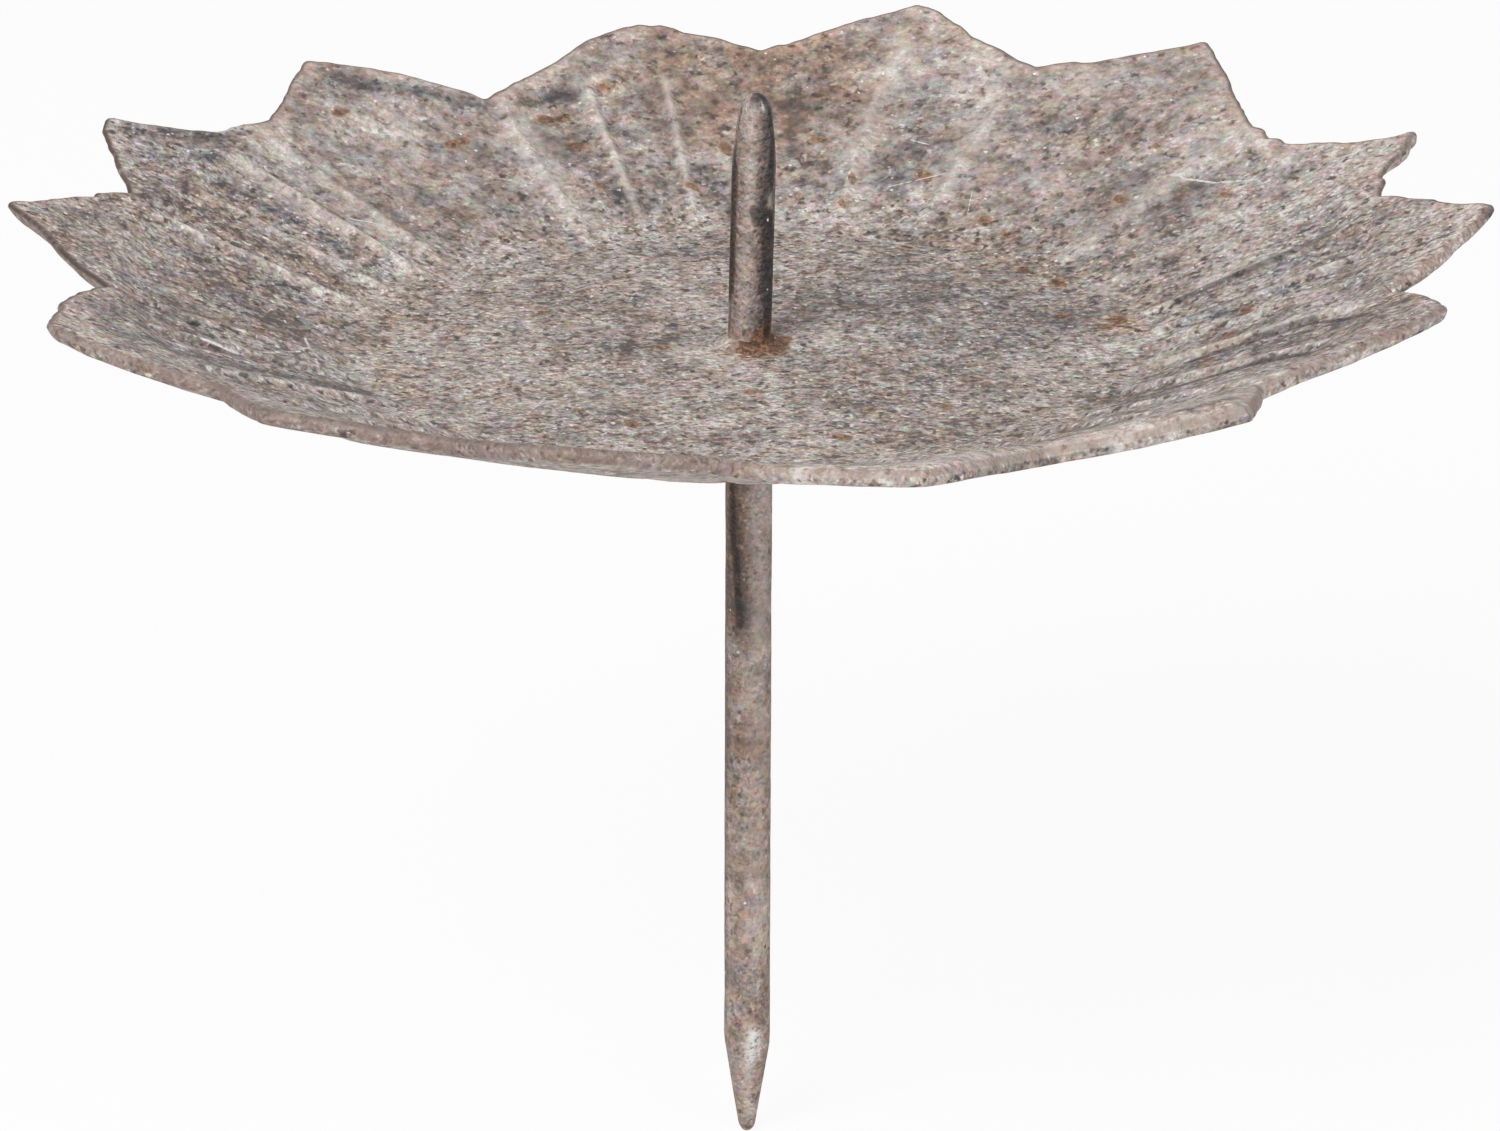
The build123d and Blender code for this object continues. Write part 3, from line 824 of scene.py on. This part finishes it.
def colour_ramp(tree, value, stops):
    """The colour at a value, through stops of value and display colour."""
    node = tree.nodes.new("ShaderNodeValToRGB")
    elements = node.color_ramp.elements
    elements[0].position, elements[1].position = stops[0][0], stops[-1][0]
    for position, _ in stops[1:-1]:
        elements.new(position)
    for element, (_, colour) in zip(elements, stops):
        element.color = linear(*colour)
    plug(tree, node.inputs["Fac"], value)
    return node.outputs["Color"]


def blend(tree, share, first, second, kind="MIX"):
    """A share of the second colour over, or multiplied on to, the first."""
    node = tree.nodes.new("ShaderNodeMix")
    node.data_type = "RGBA"
    node.blend_type = kind
    factor, colour_a, colour_b = node.inputs[0], node.inputs[6], node.inputs[7]
    plug(tree, factor, share)
    plug(tree, colour_a, first)
    plug(tree, colour_b, second)
    return node.outputs[2]


def mark(tree, name):
    """A mark of the piece, read from its mesh."""
    node = tree.nodes.new("ShaderNodeAttribute")
    node.attribute_name = name
    return node.outputs["Fac"]


# Colours of the finish, as 8-bit display values, the pale wash and glint colours also for painted highlights
wash_stops = (
    (0.1, (70, 67, 66)), (0.26, (106, 95, 90)), (0.38, (134, 122, 116)), (0.5, (159, 148, 142)),
    (0.62, (179, 169, 163)), (0.76, (199, 191, 185)), (0.92, (222, 217, 212)),
)
pale_wash_and_highlight = (206, 197, 189)
rust_dark = (70, 50, 41)
rust_bright = (152, 105, 72)
rust_brown = (108, 74, 55)
pore_brown = (86, 66, 55)
painted_glint_white = (240, 239, 237)
worn_tan = (160, 139, 129)
cut_brown = (130, 111, 103)
line_brown = (76, 66, 62)
bare_steel_and_glint = (216, 214, 213)

# Tints that the finish is multiplied by, the slate and grime tints also for painted shade
cool_tint = (0.9, 0.99, 1.08, 1)
warm_tint = (1.09, 0.965, 0.86, 1)
border_tint = (1.05, 0.975, 0.96, 1)
green_tint = (0.93, 1.04, 0.94, 1)
pink_tint = (1.05, 0.945, 1.04, 1)
slate_and_shade_tint = (0.86, 0.99, 1.12, 1)
brown_tint = (1.0, 0.86, 0.73, 1)
halo_tint = (1.0, 0.88, 0.74, 1)
grime_and_shade_tint = (0.28, 0.28, 0.3, 1)

# Relief of the wash's grit
grit_height = 0.26


def weighted(tree, fields):
    """The sum of fields times their weights."""
    total = 0.0
    for field, weight in fields:
        total = arithmetic(tree, "ADD", times(tree, field, weight), total)
    return total


def wash_fields(tree, place, grain):
    """The noise that the finish is made of, from fine grit to wide clouds."""
    ragged = wobbled(tree, place, 0.8 * grain, 0.9 * grain)
    depth, shade, warmth, tint = grains(tree, ragged, grain)
    return SimpleNamespace(
        place=place, grain=grain, ragged=ragged, depth=depth, shade=shade, warmth=warmth, tint=tint,
        fine=noise_field(tree, place, 0.75 * grain, 1.0, detail=1.0, roughness=0.7),
        mottle=noise_field(tree, place, 2.2 * grain, 2.0),
        blotch=noise_field(tree, place, 7 * grain, 3.0),
        cloud=noise_field(tree, place, 22 * grain, 4.0),
        hue=noise_field(tree, place, 3 * grain, 5.0),
        cast=noise_field(tree, place, 2 * grain, 6.0),
        dark=noise_field(tree, ragged, 1.4 * grain, 7.0, detail=1.0),
        light=noise_field(tree, ragged, 0.9 * grain, 8.0, detail=1.0),
    )


def wash_cover(tree, fields, rough, border, base_level, contrast):
    """How thick the wash is: about 0 where it is thinnest and 1 where it is whitest; the marks darken it with
    painted shade and lighten it with painted highlights.
    """
    grit = weighted(tree, (
        (fields.fine, 0.45), (fields.shade, 0.08), (fields.depth, -0.12),
        (step_between(tree, fields.dark, 0.56, 0.72), -0.24),
        (step_between(tree, fields.light, 0.6, 0.72), 0.22),
    ))
    grit = arithmetic(tree, "SUBTRACT", grit, 0.18)
    grit = times(tree, times(tree, grit, rough), contrast)
    cover = weighted(tree, (
        (grit, 1.0), (fields.mottle, 0.42 * contrast), (fields.blotch, 0.25 * contrast),
        (fields.cloud, 0.3 * contrast), (mark(tree, "slate_and_shade"), -0.28), (mark(tree, "brown"), -0.08),
        (mark(tree, "pale_and_highlight"), 0.17), (border, 0.04),
    ))
    return arithmetic(tree, "ADD", cover, base_level - 0.485 * contrast)


def tinted_wash(tree, fields, cover, border, tone):
    """The wash's colour, warmer and cooler in spots, with its soft marks, painted shade and painted
    highlights among them.
    """
    colour = colour_ramp(tree, cover, wash_stops)
    warm = weighted(tree, ((fields.warmth, 0.4), (fields.hue, 1.6)))
    warm = blend(tree, step_between(tree, warm, 0.6, 1.4), cool_tint, warm_tint)
    colour = blend(tree, step_between(tree, cover, 0.95, 0.5), colour, warm, "MULTIPLY")
    colour = blend(tree, 1.0, colour, tone, "MULTIPLY")
    colour = blend(tree, times(tree, border, 0.6), colour, border_tint, "MULTIPLY")
    pink = weighted(tree, ((fields.tint, 0.6), (fields.cast, 1.6)))
    pink = blend(tree, step_between(tree, pink, 0.6, 1.6), green_tint, pink_tint)
    colour = blend(tree, 1.0, colour, pink, "MULTIPLY")
    colour = blend(tree, times(tree, mark(tree, "slate_and_shade"), 0.8), colour, slate_and_shade_tint, "MULTIPLY")
    brown = times(tree, mark(tree, "brown"), step_between(tree, fields.mottle, 0.2, 0.55))
    colour = blend(tree, times(tree, brown, 0.9), colour, brown_tint, "MULTIPLY")
    return blend(tree, times(tree, mark(tree, "pale_and_highlight"), 0.4), colour, linear(*pale_wash_and_highlight))


def rusted(tree, fields, colour):
    """Broken spots of rust, each in a faint brown halo."""
    halo = step_between(tree, mark(tree, "rust"), -0.7, 0.1)
    colour = blend(tree, times(tree, halo, 0.6), colour, halo_tint, "MULTIPLY")
    rust = step_between(tree, fields.fine, 0.42, 0.58)
    rust = blend(tree, rust, linear(*rust_dark), linear(*rust_bright))
    rust = blend(tree, step_between(tree, fields.hue, 0.5, 0.65), rust, linear(*rust_brown))
    broken = weighted(tree, ((mark(tree, "rust"), 1.0), (fields.mottle, 0.9), (fields.fine, 0.5)))
    return blend(tree, times(tree, step_between(tree, broken, 0.6, 0.8), 0.75), colour, rust)


def specked(tree, fields, colour):
    """Brown pores, sharp dark marks that are partly painted shade, and painted glints."""
    grain = fields.grain
    torn = wobbled(tree, fields.place, 0.6 * grain, 2.0 * grain)
    pores = flecks(tree, torn, 2.4 * grain, 0.06, 0.32)
    pores = arithmetic(tree, "MAXIMUM", pores, flecks(tree, torn, 6 * grain, 0.2, 0.16))
    colour = blend(tree, times(tree, pores, 0.7), colour, linear(*pore_brown))
    grime_and_shade = weighted(tree, ((fields.mottle, 0.5), (fields.fine, 0.4), (mark(tree, "grime_and_shade"), 1.0)))
    grime_and_shade = step_between(tree, grime_and_shade, 0.34, 0.6)
    colour = blend(tree, times(tree, grime_and_shade, 0.85), colour, grime_and_shade_tint, "MULTIPLY")
    painted_sparkle = flecks(tree, fields.ragged, 0.9 * grain, 0.3, 0.3)
    painted_sparkle = arithmetic(tree, "MAXIMUM", painted_sparkle, hairlines(tree, fields.place, 6 * grain, 9.0))
    painted_sparkle = times(tree, painted_sparkle, mark(tree, "painted_sparkle"))
    painted_glints = arithmetic(tree, "MAXIMUM", flecks(tree, fields.ragged, 1.2 * grain, 0.03, 0.28), painted_sparkle)
    return blend(tree, times(tree, painted_glints, 0.85), colour, linear(*painted_glint_white))


def worn_edges(tree, fields, colour):
    """The worn rim, the cut face of the edge and the dark line along it."""
    worn = arithmetic(tree, "SUBTRACT", mark(tree, "rim"), times(tree, fields.mottle, 0.3))
    worn = step_between(tree, worn, 0.5, 0.2)
    colour = blend(tree, times(tree, worn, 0.5), colour, linear(*worn_tan))
    face = times(tree, mark(tree, "lip"), step_between(tree, fields.mottle, 0.2, 0.7))
    colour = blend(tree, times(tree, face, 0.7), colour, linear(*cut_brown))
    line = times(tree, mark(tree, "edge_line"), step_between(tree, fields.mottle, 0.15, 0.5))
    return blend(tree, times(tree, line, 0.95), colour, linear(*line_brown))


def scratched(tree, fields, colour):
    """Bare metal in scratches and rubbed spots, and painted glints."""
    line = arithmetic(tree, "ABSOLUTE", mark(tree, "line_offset"))
    line = times(tree, mark(tree, "line_near"), step_between(tree, line, 1.0, 0.4))
    bare_and_glint = arithmetic(tree, "MAXIMUM", line, mark(tree, "bare_and_glint"))
    bare_and_glint = times(tree, bare_and_glint, step_between(tree, fields.fine, 0.32, 0.5))
    return blend(tree, bare_and_glint, colour, linear(*bare_steel_and_glint))


def washed_iron(name, grain, base_level, contrast, tone):
    """Iron under a thin grey-beige wash: the wash is thinner where noise and marks say so, and some marks
    paint shade, shadow and highlights on it.
    """
    material = bpy.data.materials.new(name)
    material.use_nodes = True
    tree = material.node_tree
    tree.nodes.clear()
    coordinates = tree.nodes.new("ShaderNodeTexCoord")
    in_mm = tree.nodes.new("ShaderNodeVectorMath")
    in_mm.operation = "SCALE"
    plug(tree, in_mm.inputs[0], coordinates.outputs["Object"])
    in_mm.inputs["Scale"].default_value = 1 / MM

    fields = wash_fields(tree, in_mm.outputs["Vector"], grain)
    inset = arithmetic(tree, "SUBTRACT", mark(tree, "rim"), times(tree, fields.blotch, 2.0))
    border = step_between(tree, inset, 1.2, 0.2)
    rough = arithmetic(tree, "SUBTRACT", arithmetic(tree, "ADD", fields.blotch, 0.5), mark(tree, "calm"))
    cover = wash_cover(tree, fields, rough, border, base_level, contrast)
    colour = tinted_wash(tree, fields, cover, border, tone)
    for layer in (rusted, specked, worn_edges, scratched):
        colour = layer(tree, fields, colour)

    relief = weighted(tree, ((fields.fine, 1.0), (fields.depth, -0.6), (fields.mottle, 0.6)))
    bump = tree.nodes.new("ShaderNodeBump")
    bump.inputs["Strength"].default_value = 1.0
    bump.inputs["Distance"].default_value = grit_height * MM
    plug(tree, bump.inputs["Height"], times(tree, relief, rough))
    shader = tree.nodes.new("ShaderNodeBsdfPrincipled")
    plug(tree, shader.inputs["Base Color"], colour)
    plug(tree, shader.inputs["Roughness"], step_between(tree, cover, -0.5, 0.8))
    plug(tree, shader.inputs["Normal"], bump.outputs["Normal"])
    shader.inputs["Specular IOR Level"].default_value = 0.3
    output = tree.nodes.new("ShaderNodeOutputMaterial")
    plug(tree, output.inputs["Surface"], shader.outputs["BSDF"])
    return material


# Camera, light and floor

def place_camera():
    """A camera at the photograph's viewing angle."""
    azimuth, elevation, roll = (math.radians(a) for a in (camera_azimuth, camera_elevation, camera_roll))
    back = Vector((
        math.sin(azimuth) * math.cos(elevation), -math.cos(azimuth) * math.cos(elevation), math.sin(elevation)
    ))
    level = Vector((math.cos(azimuth), math.sin(azimuth), 0))
    upright = back.cross(level)
    right = math.cos(roll) * level + math.sin(roll) * upright
    up = back.cross(right)
    eye = Vector((0, 0, look_at_height)) * MM + back * camera_distance * MM
    data = bpy.data.cameras.new("camera")
    data.sensor_width = sensor_width
    data.sensor_fit = "HORIZONTAL"
    data.lens = lens_length
    data.clip_start = 0.02
    camera = bpy.data.objects.new("camera", data)
    bpy.context.scene.collection.objects.link(camera)
    camera.matrix_world = Matrix.Translation(eye) @ Matrix((right, up, back)).transposed().to_4x4()
    bpy.context.scene.camera = camera


def soft_light(name, spot, power):
    """A square soft box that looks at the object."""
    data = bpy.data.lights.new(name, "AREA")
    data.size = soft_box_size * MM
    data.energy = power
    light = bpy.data.objects.new(name, data)
    light.location = Vector(spot) * MM
    light.rotation_euler = (-light.location).to_track_quat("-Z", "Y").to_euler()
    bpy.context.scene.collection.objects.link(light)


def seen_directly(tree):
    """1 for rays from the camera, mirrors and glass, 0 for the light that falls on things."""
    path = tree.nodes.new("ShaderNodeLightPath")
    seen = arithmetic(tree, "MAXIMUM", path.outputs["Is Camera Ray"], path.outputs["Is Glossy Ray"])
    return arithmetic(tree, "MAXIMUM", seen, path.outputs["Is Transmission Ray"])


def light_world():
    """A white surround that lights the object at a plain level."""
    world = bpy.data.worlds.new("surround")
    bpy.context.scene.world = world
    world.use_nodes = True
    tree = world.node_tree
    tree.nodes.clear()
    background = tree.nodes.new("ShaderNodeBackground")
    level = tree.nodes.new("ShaderNodeMapRange")
    plug(tree, level.inputs["Value"], seen_directly(tree))
    level.inputs["To Min"].default_value = surround_strength
    plug(tree, background.inputs["Strength"], level.outputs["Result"])
    output = tree.nodes.new("ShaderNodeOutputWorld")
    plug(tree, output.inputs["Surface"], background.outputs["Background"])


def lay_floor():
    """A white floor under the stake's tip that keeps a faint shadow."""
    half = floor_size * MM / 2
    level = cad_box[0].z
    mesh = bpy.data.meshes.new("floor")
    corners = [(-half, -half, level), (half, -half, level), (half, half, level), (-half, half, level)]
    mesh.from_pydata(corners, [], [(0, 1, 2, 3)])
    material = bpy.data.materials.new("white_floor")
    material.use_nodes = True
    tree = material.node_tree
    tree.nodes.clear()
    matt = tree.nodes.new("ShaderNodeBsdfDiffuse")
    matt.inputs["Color"].default_value = (0.9, 0.9, 0.9, 1)
    white = tree.nodes.new("ShaderNodeEmission")
    mixed = tree.nodes.new("ShaderNodeMixShader")
    plug(tree, mixed.inputs[0], times(tree, seen_directly(tree), 1 - shadow_share))
    plug(tree, mixed.inputs[1], matt.outputs["BSDF"])
    plug(tree, mixed.inputs[2], white.outputs["Emission"])
    output = tree.nodes.new("ShaderNodeOutputMaterial")
    plug(tree, output.inputs["Surface"], mixed.outputs["Shader"])
    mesh.materials.append(material)
    floor = bpy.data.objects.new("floor", mesh)
    bpy.context.scene.collection.objects.link(floor)


bpy.context.scene.view_settings.view_transform = "Standard"
place_camera()
light_world()
soft_light("key", key_spot, key_power)
soft_light("fill", fill_spot, fill_power)
lay_floor()

sheet_finish = washed_iron(
    "washed_sheet", grain=0.5, base_level=0.525, contrast=2.0, tone=(1.01, 0.997, 0.995, 1)
)
wire_finish = washed_iron(
    "washed_wire", grain=0.36, base_level=0.44, contrast=1.35, tone=(1.035, 0.98, 0.955, 1)
)
weld_finish = washed_iron(
    "rusty_weld", grain=0.36, base_level=0.45, contrast=1.4, tone=(1.02, 0.99, 0.97, 1)
)
pan_piece(sheet_finish)
pricket_piece(wire_finish)
stake_piece(wire_finish)
weld_piece(
    "pricket_weld_bead", "pricket_weld", "pricket", 0.0, pricket_weld_rise, pricket_weld_spread, weld_finish
)
weld_piece(
    "stake_weld_bead", "stake_weld", "stake", -sheet, -stake_weld_rise, stake_weld_spread, weld_finish
)
